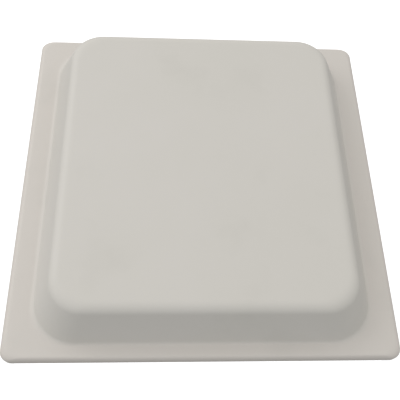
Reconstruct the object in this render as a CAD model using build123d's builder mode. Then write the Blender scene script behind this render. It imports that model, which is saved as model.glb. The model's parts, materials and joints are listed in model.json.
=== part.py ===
"""Flat panel antenna of a radio-tag security gate, lying on its back.

Millimetres, +Z out of the front face. The origin is the centre of the back plate's
rear face, which is the plane that a gate post or bracket meets.
The radome is a thin plastic shell: a flange around a raised dome with sloping walls.
A flat aluminium plate closes it from behind and carries everything else.
"""

import os
from math import hypot

from build123d import *

os.makedirs("parts", exist_ok=True)

# Radome, outside
panel_side = 260.0
panel_corner = 7.0
panel_depth = 42.0
flange_depth = 9.0
flange_rounding = 4.5
dome_foot = (223.6, 239.5)
dome_foot_corner = 28.0
dome_top = (191.0, 213.5)
dome_top_corner = 22.0
dome_rounding = 8.0
dome_root_fillet = 4.0

# Radome, inside
wall = 2.5
pocket_rounding = 2.0
seal_rib = 3.5
boss_radius = 4.0
boss_hole_depth = 4.2

# Back plate and its seal
plate_thickness = 3.0
plate_gap = 0.4
seal_thickness = 1.5
seal_overhang = 0.7

# Clearances, each on a radius
thread_gap = 0.05
press_gap = 0.03
hole_gap = 0.1

# Screws that hold the radome on, driven from behind
cover_screw_radius = 1.5
cover_screw_head = 3.0
cover_screw_length = 7.0
cover_screw_side_inset = 9.5
cover_screw_corner_inset = 10.5
cover_screw_pitch = 60.0
recess_width = 0.9
recess_span = 0.6
recess_depth = 0.9

# Studs that fasten the panel to a gate post or bracket
mount_pitch = 100.0
mount_stud_radius = 3.0
mount_stud_length = 25.0
mount_stud_collar = 3.4
mount_stud_head = 4.4
mount_stud_head_depth = 1.6
mount_stud_chamfer = 0.7

# Two stacked discs that radiate, on plastic standoffs
driven_radius = 82.0
parasitic_radius = 74.0
disc_thickness = 1.5
standoff_length = 12.0
standoff_flats = 7.0
standoff_pitch = (128.0, 44.0)
standoff_bore_depth = 8.5
m3_radius = 1.5
m3_engagement = 6.0
m3_clinch_head = 2.4
m3_clinch_depth = 1.2
m3_nut_flats = 5.5
m3_nut_thickness = 2.4
m3_pan_head = 3.0
m3_pan_height = 2.0

# Centre post, which joins both discs to the plate
post_radius = 6.0
m4_radius = 2.0
m4_clinch_head = 3.1
m4_clinch_depth = 1.5
m4_nut_flats = 7.0
m4_nut_thickness = 3.2
m4_washer_radius = 5.0
m4_washer_thickness = 1.0
m4_tail = 2.0

# Feed board with its quarter-wave coupler
board_size = (84.0, 72.0)
board_centre = (0.0, -56.0)
board_corner = 2.0
board_thickness = 1.6
board_screw_inset = 4.0
board_screw_radius = 1.25
board_screw_head = 2.25
board_screw_head_height = 1.7
board_screw_reach = 1.8
board_screw_slack = 0.2
copper = 0.15
coupler_side = 42.0
coupler_centre = (0.0, -53.0)
main_line = 5.0
branch_line = 3.0
feed_pitch = 59.4
feed_y = -29.7
feed_pad = 4.4
ground_pad = 3.6
resistor_size = (6.4, 3.2, 0.7)
resistor_corner = 0.2
resistor_pad = (2.4, 4.0)
resistor_offset = 10.0
feed_pin_radius = 2.5
feed_pin_tail = 2.7
solder_rise = 1.1
solder_spread = 1.3

# Threaded cable jack with a four-hole flange
jack_centre = (0.0, -82.0)
jack_flange = 25.4
jack_flange_corner = 1.5
jack_flange_thickness = 2.0
jack_seal_thickness = 0.5
jack_hole_pitch = 18.2
jack_length = 18.0
jack_thread_radius = 7.94
jack_thread_length = 10.7
jack_thread_chamfer = 0.6
jack_neck_radius = 7.2
jack_mouth_radius = 4.05
jack_mouth_depth = 9.0
jack_mouth_chamfer = 0.5
jack_bead_radius = 3.5
jack_bead_nose = 2.05
contact_radius = 1.5
contact_recess = 5.0
contact_bore = 0.85
contact_bore_depth = 3.4
contact_slit = 0.35
contact_core = 1.0
contact_tail = 0.65
contact_tail_rise = 1.2
jack_screw_head = 2.75
jack_screw_head_height = 2.2
jack_screw_reach = 2.5
jack_pad = 3.0

# Push-in plug that keeps the jack clean until the cable goes on
plug_gap = 0.06
plug_depth = 4.0
plug_taper = 0.2
plug_head_radius = 6.5
plug_head_thickness = 1.2
plug_grip_radius = 3.0
plug_grip_length = 3.0
plug_grip_waist = 0.6

# Breather vent
vent_centre = (-92.0, -92.0)
vent_radius = 4.0
vent_bore = 1.8
vent_seal_outer = 6.2
vent_seal_thickness = 0.8
vent_head_flats = 13.0
vent_head_thickness = 2.0
vent_reach = 8.0
vent_nut_flats = 12.0
vent_nut_thickness = 3.0
vent_membrane_radius = 4.0
vent_membrane_thickness = 0.3
vent_cap_radius = 6.2
vent_cap_wall = 1.2
vent_cap_height = 2.8
vent_port_width = 2.4

# Label on the back
label_size = (70.0, 40.0)
label_centre = (0.0, 82.0)
label_corner = 2.0
label_thickness = 0.15

# Levels worked out from the sizes above
flange_under = flange_depth - wall
rib_level = plate_thickness + seal_thickness
driven_level = plate_thickness + standoff_length
upper_level = driven_level + disc_thickness
parasitic_level = upper_level + standoff_length
stack_top = parasitic_level + disc_thickness
board_top = plate_thickness + board_thickness
copper_top = board_top + copper
jack_flange_top = -jack_seal_thickness
jack_flange_bottom = jack_flange_top - jack_flange_thickness
jack_front = -jack_length
bead_level = jack_front + jack_mouth_depth
vent_head_top = -vent_seal_thickness
vent_head_bottom = vent_head_top - vent_head_thickness

from_below = (Align.CENTER, Align.CENTER, Align.MIN)


def four(pitch_x, pitch_y, centre=(0.0, 0.0)):
    """Corners of a rectangle of holes."""
    x, y = centre
    return [(x + sx * pitch_x / 2, y + sy * pitch_y / 2) for sx in (-1, 1) for sy in (-1, 1)]


def rods(points, radius, low, high, mode=Mode.ADD):
    """Upright cylinders, or holes where the mode subtracts."""
    with Locations(*[(x, y, low) for x, y in points]):
        Cylinder(radius, high - low, align=from_below, mode=mode)


def bores(points, radius, low, high):
    rods(points, radius, low, high, mode=Mode.SUBTRACT)


def hexes(points, flats, low, high):
    """Upright hexagonal bars."""
    with BuildSketch(Plane.XY.offset(low)) as outline:
        with Locations(*points):
            RegularPolygon(flats / 2, 6, major_radius=False)
    extrude(outline.sketch, amount=high - low)


def slab(size, corner, centre, low, high, mode=Mode.ADD):
    """Upright block with rounded corners."""
    with BuildSketch(Plane.XY.offset(low)) as outline:
        with Locations(centre):
            RectangleRounded(size[0], size[1], corner)
    extrude(outline.sketch, amount=high - low, mode=mode)


def cross_recesses(points, span, width, low, high):
    """Cross-shaped driver recesses."""
    with Locations(*[(x, y, low) for x, y in points]):
        Box(span, width, high - low, align=from_below, mode=Mode.SUBTRACT)
        Box(width, span, high - low, align=from_below, mode=Mode.SUBTRACT)


def write(builder, name):
    builder.part.label = name
    export_step(builder.part, f"parts/{name}.step")


# Slope of the dome's walls, and how far a wall of even thickness reaches along X or Y
dome_height = panel_depth - flange_depth
run = [(foot - top) / 2 for foot, top in zip(dome_foot, dome_top)]
skew = [wall * hypot(dome_height, r) / dome_height for r in run]
corner_run = dome_foot_corner - dome_top_corner


def dome_outline(level):
    """Outside size and corner of the dome at a height above the back."""
    share = (level - flange_depth) / dome_height
    size = [foot - 2 * r * share for foot, r in zip(dome_foot, run)]
    return size, dome_foot_corner - corner_run * share


def cavity_outline(level):
    """Size and corner of the hollow inside the dome."""
    size, corner = dome_outline(level)
    return [s - 2 * k for s, k in zip(size, skew)], corner - max(skew)


opening, opening_corner = cavity_outline(flange_depth)

side_x = panel_side / 2 - cover_screw_side_inset
corner_xy = panel_side / 2 - cover_screw_corner_inset
cover_screws_at = four(2 * corner_xy, 2 * corner_xy)
cover_screws_at += [(sx * side_x, n * cover_screw_pitch) for sx in (-1, 1) for n in (-1, 0, 1)]
mount_studs_at = four(mount_pitch, mount_pitch)
standoffs_at = four(*standoff_pitch)
board_screws_at = four(
    board_size[0] - 2 * board_screw_inset, board_size[1] - 2 * board_screw_inset, board_centre
)
feeds_at = [(-feed_pitch / 2, feed_y), (feed_pitch / 2, feed_y)]
jack_screws_at = four(jack_hole_pitch, jack_hole_pitch, jack_centre)

# Radome: the hollow under the dome, made first and taken away later
with BuildPart() as cavity:
    for level in (flange_depth, panel_depth - wall):
        size, corner = cavity_outline(level)
        with BuildSketch(Plane.XY.offset(level)):
            RectangleRounded(size[0], size[1], corner)
    loft(ruled=True)
    fillet(cavity.edges().group_by(Axis.Z)[-1], dome_rounding - wall)
    slab(opening, opening_corner, (0, 0), rib_level, flange_depth)

# Radome: the pocket behind the flange, which takes the plate
with BuildPart() as pocket:
    pocket_side = panel_side - 2 * wall
    slab((pocket_side, pocket_side), panel_corner - wall, (0, 0), 0, flange_under)
    fillet(pocket.faces().sort_by(Axis.Z)[-1].edges(), pocket_rounding)

with BuildPart() as radome:
    slab((panel_side, panel_side), panel_corner, (0, 0), 0, flange_depth)
    fillet(radome.faces().sort_by(Axis.Z)[-1].edges(), flange_rounding)
    for level in (flange_depth, panel_depth):
        size, corner = dome_outline(level)
        with BuildSketch(Plane.XY.offset(level)):
            RectangleRounded(size[0], size[1], corner)
    loft(ruled=True)
    fillet(radome.edges().group_by(Axis.Z)[-1], dome_rounding)
    foot_edges = (
        radome.edges()
        .filter_by_position(Axis.Z, flange_depth - hole_gap, flange_depth + hole_gap)
        .filter_by_position(Axis.X, -dome_foot[0] / 2 - hole_gap, dome_foot[0] / 2 + hole_gap)
        .filter_by_position(Axis.Y, -dome_foot[1] / 2 - hole_gap, dome_foot[1] / 2 + hole_gap)
    )
    fillet(foot_edges, dome_root_fillet)
    add(pocket.part, mode=Mode.SUBTRACT)
    rib_size = (opening[0] + 2 * seal_rib, opening[1] + 2 * seal_rib)
    slab(rib_size, opening_corner + seal_rib, (0, 0), rib_level, flange_under)
    rods(cover_screws_at, boss_radius, plate_thickness, flange_under)
    add(cavity.part, mode=Mode.SUBTRACT)
    bores(
        cover_screws_at,
        cover_screw_radius + thread_gap,
        plate_thickness,
        plate_thickness + boss_hole_depth,
    )
write(radome, "radome")

# Back plate, also the antenna's ground plane
plate_side = panel_side - 2 * wall - 2 * plate_gap
with BuildPart() as back_plate:
    slab((plate_side, plate_side), panel_corner - wall - plate_gap, (0, 0), 0, plate_thickness)
    with Locations(*[Location((x, y, 0), (180, 0, 0)) for x, y in cover_screws_at]):
        CounterSinkHole(cover_screw_radius + 2 * hole_gap, cover_screw_head + hole_gap)
    bores(mount_studs_at, mount_stud_collar + press_gap, 0, plate_thickness)
    head_level = plate_thickness - mount_stud_head_depth
    bores(mount_studs_at, mount_stud_head + press_gap, head_level, plate_thickness)
    bores(standoffs_at, m3_radius + press_gap, 0, plate_thickness)
    bores(standoffs_at, m3_clinch_head + press_gap, 0, m3_clinch_depth)
    bores([(0, 0)], m4_radius + press_gap, 0, plate_thickness)
    bores([(0, 0)], m4_clinch_head + press_gap, 0, m4_clinch_depth)
    bores(
        board_screws_at,
        board_screw_radius + thread_gap,
        plate_thickness - board_screw_reach - board_screw_slack,
        plate_thickness,
    )
    bores([jack_centre], jack_bead_nose + hole_gap, 0, plate_thickness)
    bores(jack_screws_at, m3_radius + thread_gap, 0, jack_screw_reach + board_screw_slack)
    bores([vent_centre], vent_radius + hole_gap, 0, plate_thickness)
write(back_plate, "back_plate")

with BuildPart() as perimeter_seal:
    outer = [s + 2 * seal_rib + 2 * seal_overhang for s in opening]
    inner = [s - 2 * seal_overhang for s in opening]
    slab(outer, opening_corner + seal_rib + seal_overhang, (0, 0), plate_thickness, rib_level)
    slab(
        inner,
        opening_corner - seal_overhang,
        (0, 0),
        plate_thickness,
        rib_level,
        mode=Mode.SUBTRACT,
    )
write(perimeter_seal, "perimeter_seal")

with BuildPart() as cover_screws:
    head_depth = cover_screw_head - cover_screw_radius
    rods(cover_screws_at, cover_screw_radius, 0, cover_screw_length)
    with Locations(*[(x, y, 0) for x, y in cover_screws_at]):
        Cone(cover_screw_head, cover_screw_radius, head_depth, align=from_below)
    cross_recesses(
        cover_screws_at, cover_screw_head + recess_span, recess_width, 0, recess_depth
    )
write(cover_screws, "cover_screws")

with BuildPart() as mounting_studs:
    rods(mount_studs_at, mount_stud_radius, -mount_stud_length, 0)
    chamfer(mounting_studs.faces().group_by(Axis.Z)[0].edges(), mount_stud_chamfer)
    rods(mount_studs_at, mount_stud_collar, 0, head_level)
    rods(mount_studs_at, mount_stud_head, head_level, plate_thickness)
write(mounting_studs, "mounting_studs")

# Lower standoffs stand on clinched studs; upper ones screw down into them through the disc
with BuildPart() as standoff_studs:
    rods(standoffs_at, m3_clinch_head, 0, m3_clinch_depth)
    rods(standoffs_at, m3_radius, m3_clinch_depth, plate_thickness + m3_engagement)
write(standoff_studs, "standoff_studs")

with BuildPart() as lower_standoffs:
    hexes(standoffs_at, standoff_flats, plate_thickness, driven_level)
    bores(standoffs_at, m3_radius + thread_gap, plate_thickness, driven_level)
write(lower_standoffs, "lower_standoffs")

with BuildPart() as driven_disc:
    rods([(0, 0)], driven_radius, driven_level, upper_level)
    bores([(0, 0)], m4_radius + hole_gap, driven_level, upper_level)
    bores(standoffs_at + feeds_at, m3_radius + hole_gap, driven_level, upper_level)
write(driven_disc, "driven_disc")

with BuildPart() as upper_standoffs:
    hexes(standoffs_at, standoff_flats, upper_level, parasitic_level)
    rods(standoffs_at, m3_radius, upper_level - m3_engagement + disc_thickness, upper_level)
    bores(
        standoffs_at, m3_radius + thread_gap, parasitic_level - standoff_bore_depth, parasitic_level
    )
write(upper_standoffs, "upper_standoffs")

with BuildPart() as parasitic_disc:
    rods([(0, 0)], parasitic_radius, parasitic_level, stack_top)
    bores([(0, 0)], m4_radius + hole_gap, parasitic_level, stack_top)
    bores(standoffs_at, m3_radius + hole_gap, parasitic_level, stack_top)
write(parasitic_disc, "parasitic_disc")

with BuildPart() as standoff_screws:
    head_top = stack_top + m3_pan_height
    rods(standoffs_at, m3_pan_head, stack_top, head_top)
    fillet(standoff_screws.faces().group_by(Axis.Z)[-1].edges(), m3_pan_height / 2)
    rods(standoffs_at, m3_radius, stack_top - disc_thickness - m3_engagement, stack_top)
    cross_recesses(
        standoffs_at, m3_pan_head + recess_span, recess_width, head_top - recess_depth, head_top
    )
write(standoff_screws, "standoff_screws")

# Centre post: clinched stud, two spacers, washer and nut
nut_level = stack_top + m4_washer_thickness
with BuildPart() as centre_stud:
    rods([(0, 0)], m4_clinch_head, 0, m4_clinch_depth)
    rods([(0, 0)], m4_radius, m4_clinch_depth, nut_level + m4_nut_thickness + m4_tail)
write(centre_stud, "centre_stud")

with BuildPart() as centre_post_lower:
    rods([(0, 0)], post_radius, plate_thickness, driven_level)
    bores([(0, 0)], m4_radius + hole_gap, plate_thickness, driven_level)
write(centre_post_lower, "centre_post_lower")

with BuildPart() as centre_post_upper:
    rods([(0, 0)], post_radius, upper_level, parasitic_level)
    bores([(0, 0)], m4_radius + hole_gap, upper_level, parasitic_level)
write(centre_post_upper, "centre_post_upper")

with BuildPart() as centre_washer:
    rods([(0, 0)], m4_washer_radius, stack_top, nut_level)
    bores([(0, 0)], m4_radius + hole_gap, stack_top, nut_level)
write(centre_washer, "centre_washer")

with BuildPart() as centre_nut:
    hexes([(0, 0)], m4_nut_flats, nut_level, nut_level + m4_nut_thickness)
    bores([(0, 0)], m4_radius + thread_gap, nut_level, nut_level + m4_nut_thickness)
write(centre_nut, "centre_nut")

# Feed board, lying on the plate
with BuildPart() as feed_board:
    slab(board_size, board_corner, board_centre, plate_thickness, board_top)
    bores(board_screws_at, board_screw_radius + hole_gap, plate_thickness, board_top)
    bores([jack_centre], contact_tail + hole_gap, plate_thickness, board_top)
write(feed_board, "feed_board")

# Copper: a square coupler, a line from the jack, one to each feed pin and one to the resistor
cx, cy = coupler_centre
half = coupler_side / 2
line_low, line_high = cy - half, cy + half
resistor_x = cx + half + resistor_offset
resistor_ends = [(resistor_x + side * resistor_size[0] / 2, line_low) for side in (-1, 1)]
with BuildPart() as feed_traces:
    with BuildSketch(Plane.XY.offset(board_top)) as tracks:
        with Locations((cx, line_low), (cx, line_high)):
            Rectangle(coupler_side + branch_line, main_line)
        with Locations((cx - half, cy), (cx + half, cy)):
            Rectangle(branch_line, coupler_side)
        with Locations(((cx - half), (line_low + jack_centre[1]) / 2)):
            Rectangle(branch_line, line_low - jack_centre[1] + branch_line)
        with Locations(((cx - half + jack_centre[0]) / 2, jack_centre[1])):
            Rectangle(jack_centre[0] - cx + half, branch_line)
        with Locations(((cx + half + resistor_ends[0][0]) / 2, line_low)):
            Rectangle(resistor_ends[0][0] - cx - half, branch_line)
        for side, (x, y) in zip((-1, 1), feeds_at):
            with Locations(((cx + side * half + x) / 2, y)):
                Rectangle(abs(x - cx - side * half) + branch_line, branch_line)
        with Locations(*feeds_at):
            Circle(feed_pad)
        with Locations(jack_centre):
            Circle(jack_pad)
        with Locations(*resistor_ends):
            Rectangle(*resistor_pad)
        with Locations(*board_screws_at):
            Circle(ground_pad)
    extrude(amount=copper)
    bores(board_screws_at, board_screw_radius + hole_gap, board_top, copper_top)
    bores([jack_centre], contact_tail + hole_gap, board_top, copper_top)
write(feed_traces, "feed_traces")

with BuildPart() as board_screws:
    head_top = copper_top + board_screw_head_height
    rods(board_screws_at, board_screw_head, copper_top, head_top)
    fillet(board_screws.faces().group_by(Axis.Z)[-1].edges(), board_screw_head_height / 2)
    rods(board_screws_at, board_screw_radius, plate_thickness - board_screw_reach, copper_top)
    cross_recesses(
        board_screws_at, board_screw_head + recess_span, recess_width, head_top - recess_depth, head_top
    )
write(board_screws, "board_screws")

with BuildPart() as termination_resistor:
    length, width, height = resistor_size
    slab((length, width), resistor_corner, (resistor_x, line_low), copper_top, copper_top + height)
write(termination_resistor, "termination_resistor")

for side_name, at in zip(("left", "right"), feeds_at):
    with BuildPart() as feed_pin:
        rods([at], feed_pin_radius, copper_top, driven_level)
        rods([at], m3_radius, driven_level, upper_level + feed_pin_tail)
    write(feed_pin, f"feed_pin_{side_name}")

with BuildPart() as feed_nuts:
    hexes(feeds_at, m3_nut_flats, upper_level, upper_level + m3_nut_thickness)
    bores(feeds_at, m3_radius + thread_gap, upper_level, upper_level + m3_nut_thickness)
write(feed_nuts, "feed_nuts")

with BuildPart() as solder_joints:
    solder_top = copper_top + solder_rise
    for points, radius in ((feeds_at, feed_pin_radius), ([jack_centre], contact_tail)):
        with Locations(*[(x, y, copper_top) for x, y in points]):
            Cone(radius + solder_spread, radius + press_gap + thread_gap, solder_rise, align=from_below)
        bores(points, radius + press_gap, copper_top, solder_top)
write(solder_joints, "solder_joints")

# Cable jack: body, bead, contact, flange seal and screws
jack_axis = Axis((jack_centre[0], jack_centre[1], 0), (0, 0, 1))
jack_section = Plane(origin=(jack_centre[0], jack_centre[1], 0), x_dir=(1, 0, 0), z_dir=(0, -1, 0))
thread_top = jack_front + jack_thread_length + jack_thread_chamfer

with BuildPart() as jack_body:
    slab((jack_flange, jack_flange), jack_flange_corner, jack_centre, jack_flange_bottom, jack_flange_top)
    rods([jack_centre], jack_neck_radius, thread_top, jack_flange_bottom)
    with BuildSketch(jack_section):
        with BuildLine():
            Polyline(
                (0, jack_front),
                (jack_thread_radius - jack_thread_chamfer, jack_front),
                (jack_thread_radius, jack_front + jack_thread_chamfer),
                (jack_thread_radius, thread_top),
                (0, thread_top),
                close=True,
            )
        make_face()
    revolve(axis=jack_axis)
    bores([jack_centre], jack_bead_radius + press_gap, bead_level, jack_flange_top)
    bores([jack_centre], jack_mouth_radius, jack_front, bead_level)
    mouth_edge = jack_body.edges().filter_by(GeomType.CIRCLE).group_by(Axis.Z)[0].sort_by(SortBy.RADIUS)[0]
    chamfer(mouth_edge, jack_mouth_chamfer)
    bores(jack_screws_at, m3_radius + hole_gap, jack_flange_bottom, jack_flange_top)
write(jack_body, "jack_body")

with BuildPart() as jack_dielectric:
    rods([jack_centre], jack_bead_radius, bead_level, jack_flange_top)
    rods([jack_centre], jack_bead_nose, jack_flange_top, plate_thickness)
    bores([jack_centre], contact_core + press_gap, bead_level, 0)
    bores([jack_centre], contact_tail + press_gap, 0, plate_thickness)
write(jack_dielectric, "jack_dielectric")

contact_tip = jack_front + contact_recess
with BuildPart() as jack_contact:
    rods([jack_centre], contact_radius, contact_tip, bead_level)
    rods([jack_centre], contact_core, bead_level, 0)
    rods([jack_centre], contact_tail, 0, copper_top + contact_tail_rise)
    bores([jack_centre], contact_bore, contact_tip, contact_tip + contact_bore_depth)
    slit_end = bead_level - hole_gap
    cross_recesses([jack_centre], 2 * contact_radius + hole_gap, contact_slit, contact_tip, slit_end)
write(jack_contact, "jack_contact")

with BuildPart() as jack_seal:
    slab((jack_flange, jack_flange), jack_flange_corner, jack_centre, jack_flange_top, 0)
    bores([jack_centre], jack_bead_nose + 2 * hole_gap, jack_flange_top, 0)
    bores(jack_screws_at, m3_radius + hole_gap, jack_flange_top, 0)
write(jack_seal, "jack_seal")

with BuildPart() as jack_screws:
    head_low = jack_flange_bottom - jack_screw_head_height
    rods(jack_screws_at, jack_screw_head, head_low, jack_flange_bottom)
    fillet(jack_screws.faces().group_by(Axis.Z)[0].edges(), jack_screw_head_height / 2)
    rods(jack_screws_at, m3_radius, jack_flange_bottom, jack_screw_reach)
    cross_recesses(
        jack_screws_at, jack_screw_head + recess_span, recess_width, head_low, head_low + recess_depth
    )
write(jack_screws, "jack_screws")

# Plug, pushed into the jack's mouth; it pulls straight out
plug_radius = jack_mouth_radius - plug_gap
plug_head_low = jack_front - plug_head_thickness
plug_end = plug_head_low - plug_grip_length
with BuildPart() as jack_plug:
    with BuildSketch(jack_section):
        with BuildLine():
            Polyline(
                (0, jack_front + plug_depth),
                (plug_radius - plug_taper, jack_front + plug_depth),
                (plug_radius, jack_front),
                (plug_head_radius, jack_front),
                (plug_head_radius, plug_head_low),
                (plug_grip_radius, plug_head_low),
                (plug_grip_radius - plug_grip_waist, (plug_head_low + plug_end) / 2),
                (plug_grip_radius, plug_end),
                (0, plug_end),
                close=True,
            )
        make_face()
    revolve(axis=jack_axis)
    fillet(jack_plug.edges().group_by(Axis.Z)[0], plug_grip_waist / 2)
write(jack_plug, "jack_plug")

# Vent: threaded body through the plate, seal, nut inside, membrane under a slotted cap
with BuildPart() as vent_body:
    hexes([vent_centre], vent_head_flats, vent_head_bottom, vent_head_top)
    rods([vent_centre], vent_radius, vent_head_top, vent_reach)
    bores([vent_centre], vent_bore, vent_head_bottom, vent_reach)
write(vent_body, "vent_body")

with BuildPart() as vent_seal:
    rods([vent_centre], vent_seal_outer, vent_head_top, 0)
    bores([vent_centre], vent_radius + hole_gap, vent_head_top, 0)
write(vent_seal, "vent_seal")

with BuildPart() as vent_nut:
    hexes([vent_centre], vent_nut_flats, plate_thickness, plate_thickness + vent_nut_thickness)
    bores([vent_centre], vent_radius + thread_gap, plate_thickness, plate_thickness + vent_nut_thickness)
write(vent_nut, "vent_nut")

with BuildPart() as vent_membrane:
    rods([vent_centre], vent_membrane_radius, vent_head_bottom - vent_membrane_thickness, vent_head_bottom)
write(vent_membrane, "vent_membrane")

cap_low = vent_head_bottom - vent_cap_height
with BuildPart() as vent_cap:
    rods([vent_centre], vent_cap_radius, cap_low, vent_head_bottom)
    fillet(vent_cap.faces().group_by(Axis.Z)[0].edges(), vent_cap_wall / 2)
    bores([vent_centre], vent_cap_radius - vent_cap_wall, cap_low + vent_cap_wall, vent_head_bottom)
    port_low = vent_head_bottom - (vent_cap_height - vent_cap_wall) / 2
    port_span = 2 * vent_cap_radius + hole_gap
    cross_recesses([vent_centre], port_span, vent_port_width, port_low, vent_head_bottom)
write(vent_cap, "vent_cap")

with BuildPart() as rating_label:
    slab(label_size, label_corner, label_centre, -label_thickness, 0)
write(rating_label, "rating_label")
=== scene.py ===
import json
from math import cos, pi, radians, sin
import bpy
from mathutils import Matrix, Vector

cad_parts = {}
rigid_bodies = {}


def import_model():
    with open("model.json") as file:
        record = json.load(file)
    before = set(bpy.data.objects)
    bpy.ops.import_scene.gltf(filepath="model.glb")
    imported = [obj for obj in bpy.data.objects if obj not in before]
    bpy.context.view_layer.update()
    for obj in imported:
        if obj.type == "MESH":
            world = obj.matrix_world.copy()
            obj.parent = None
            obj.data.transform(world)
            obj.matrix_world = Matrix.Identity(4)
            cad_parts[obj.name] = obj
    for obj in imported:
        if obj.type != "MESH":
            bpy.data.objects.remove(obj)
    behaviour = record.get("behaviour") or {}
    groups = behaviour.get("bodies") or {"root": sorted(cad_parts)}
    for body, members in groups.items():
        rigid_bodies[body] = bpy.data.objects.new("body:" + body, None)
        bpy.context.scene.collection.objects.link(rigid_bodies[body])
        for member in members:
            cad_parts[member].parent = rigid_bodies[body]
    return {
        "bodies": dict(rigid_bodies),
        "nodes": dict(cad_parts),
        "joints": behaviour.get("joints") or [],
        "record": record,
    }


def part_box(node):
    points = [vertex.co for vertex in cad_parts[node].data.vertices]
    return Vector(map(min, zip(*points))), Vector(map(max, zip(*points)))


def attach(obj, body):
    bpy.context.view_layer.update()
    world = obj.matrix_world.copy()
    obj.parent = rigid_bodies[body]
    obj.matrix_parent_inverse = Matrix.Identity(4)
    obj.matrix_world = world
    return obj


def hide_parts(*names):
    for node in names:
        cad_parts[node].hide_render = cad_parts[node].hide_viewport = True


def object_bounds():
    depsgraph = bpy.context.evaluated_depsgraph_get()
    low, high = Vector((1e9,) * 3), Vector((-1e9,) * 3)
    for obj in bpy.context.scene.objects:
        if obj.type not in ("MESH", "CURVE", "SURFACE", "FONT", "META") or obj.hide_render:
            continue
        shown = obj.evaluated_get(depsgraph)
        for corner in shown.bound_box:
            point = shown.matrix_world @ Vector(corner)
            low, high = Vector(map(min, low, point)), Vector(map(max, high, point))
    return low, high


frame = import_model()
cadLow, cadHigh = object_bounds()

from types import SimpleNamespace

import bmesh
import bpy
from mathutils import Euler, Vector
from mathutils.noise import noise as noiseAt

scene = bpy.context.scene
nodes = frame["nodes"]
mm = 0.001
threadDepth = 0.6134      # of a metric thread, as a share of its pitch
print("frame:", len(nodes), "parts")


def named(settings):
    # a dictionary whose values are read as size.wall or look.roughness
    return SimpleNamespace(**settings)


# Node trees

class Wire:
    # one output socket of a node tree; sums on it add Math nodes
    def __init__(self, tree, socket=None):
        self.tree = tree
        self.socket = socket

    def node(self, kind, settings=None, sockets=None, output=0):
        made = self.tree.nodes.new(kind)
        for name, value in (settings or {}).items():
            if name == "items":
                while len(made.index_switch_items) < value:
                    made.index_switch_items.new()
            else:
                setattr(made, name, value)
        for name, value in (sockets or {}).items():
            for each in value if isinstance(value, list) else [value]:
                if isinstance(each, Wire):
                    self.tree.links.new(each.socket, made.inputs[name])
                else:
                    made.inputs[name].default_value = each
        return Wire(self.tree, made.outputs[output])

    def output(self, name):
        return Wire(self.tree, self.socket.node.outputs[name])

    def maths(self, operation, *values, clamp=False):
        settings = {"operation": operation, "use_clamp": clamp}
        return self.node("ShaderNodeMath", settings, dict(enumerate(values)))

    def __add__(self, value):
        return self.maths("ADD", self, value)

    def __radd__(self, value):
        return self.maths("ADD", value, self)

    def __sub__(self, value):
        return self.maths("SUBTRACT", self, value)

    def __rsub__(self, value):
        return self.maths("SUBTRACT", value, self)

    def __mul__(self, value):
        return self.maths("MULTIPLY", self, value)

    def __rmul__(self, value):
        return self.maths("MULTIPLY", value, self)

    def __truediv__(self, value):
        return self.maths("DIVIDE", self, value)

    def __rtruediv__(self, value):
        return self.maths("DIVIDE", value, self)

    def __neg__(self):
        return self.maths("MULTIPLY", self, -1.0)

    def __gt__(self, value):
        return self.maths("GREATER_THAN", self, value)

    def __lt__(self, value):
        return self.maths("LESS_THAN", self, value)


def combine(x, y, z):
    wire = next(value for value in (x, y, z) if isinstance(value, Wire))
    return wire.node("ShaderNodeCombineXYZ", sockets={"X": x, "Y": y, "Z": z})


# Materials

def newMaterial(name, metallic=0.0, ior=1.45, **constants):
    # a Principled surface; constants sit on its own sockets
    material = bpy.data.materials.new(name)
    material.use_nodes = True
    tree = material.node_tree
    shader = tree.nodes["Principled BSDF"]
    shader.inputs["Metallic"].default_value = metallic
    shader.inputs["IOR"].default_value = ior
    for socket, value in constants.items():
        shader.inputs[socket.replace("_", " ")].default_value = value
    return material, Wire(tree), shader


def objectPoint(wire):
    return wire.node("ShaderNodeTexCoord", output="Object")


def stretched(wire, scale, turn=0.0):
    # object coordinates, scaled by axis and turned about Z
    sockets = {"Vector": objectPoint(wire), "Rotation": (0, 0, turn), "Scale": scale}
    return wire.node("ShaderNodeMapping", sockets=sockets)


def noise(wire, vector, scale, detail=3.0, roughness=0.5):
    sockets = {"Vector": vector, "Scale": scale, "Detail": detail, "Roughness": roughness}
    return wire.node("ShaderNodeTexNoise", sockets=sockets, output="Fac")


def mixColours(wire, factor, first, second):
    first = (*first, 1) if isinstance(first, tuple) else first
    second = (*second, 1) if isinstance(second, tuple) else second
    sockets = {"Factor": factor, 6: first, 7: second}
    return wire.node("ShaderNodeMix", {"data_type": "RGBA"}, sockets, output=2)


def bump(wire, height, distance, strength=1.0, normal=None):
    sockets = {"Height": height, "Distance": distance, "Strength": strength}
    if normal:
        sockets["Normal"] = normal
    return wire.node("ShaderNodeBump", sockets=sockets)


def connect(wire, shader, **links):
    for socket, value in links.items():
        wire.tree.links.new(value.socket, shader.inputs[socket.replace("_", " ")])


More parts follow.
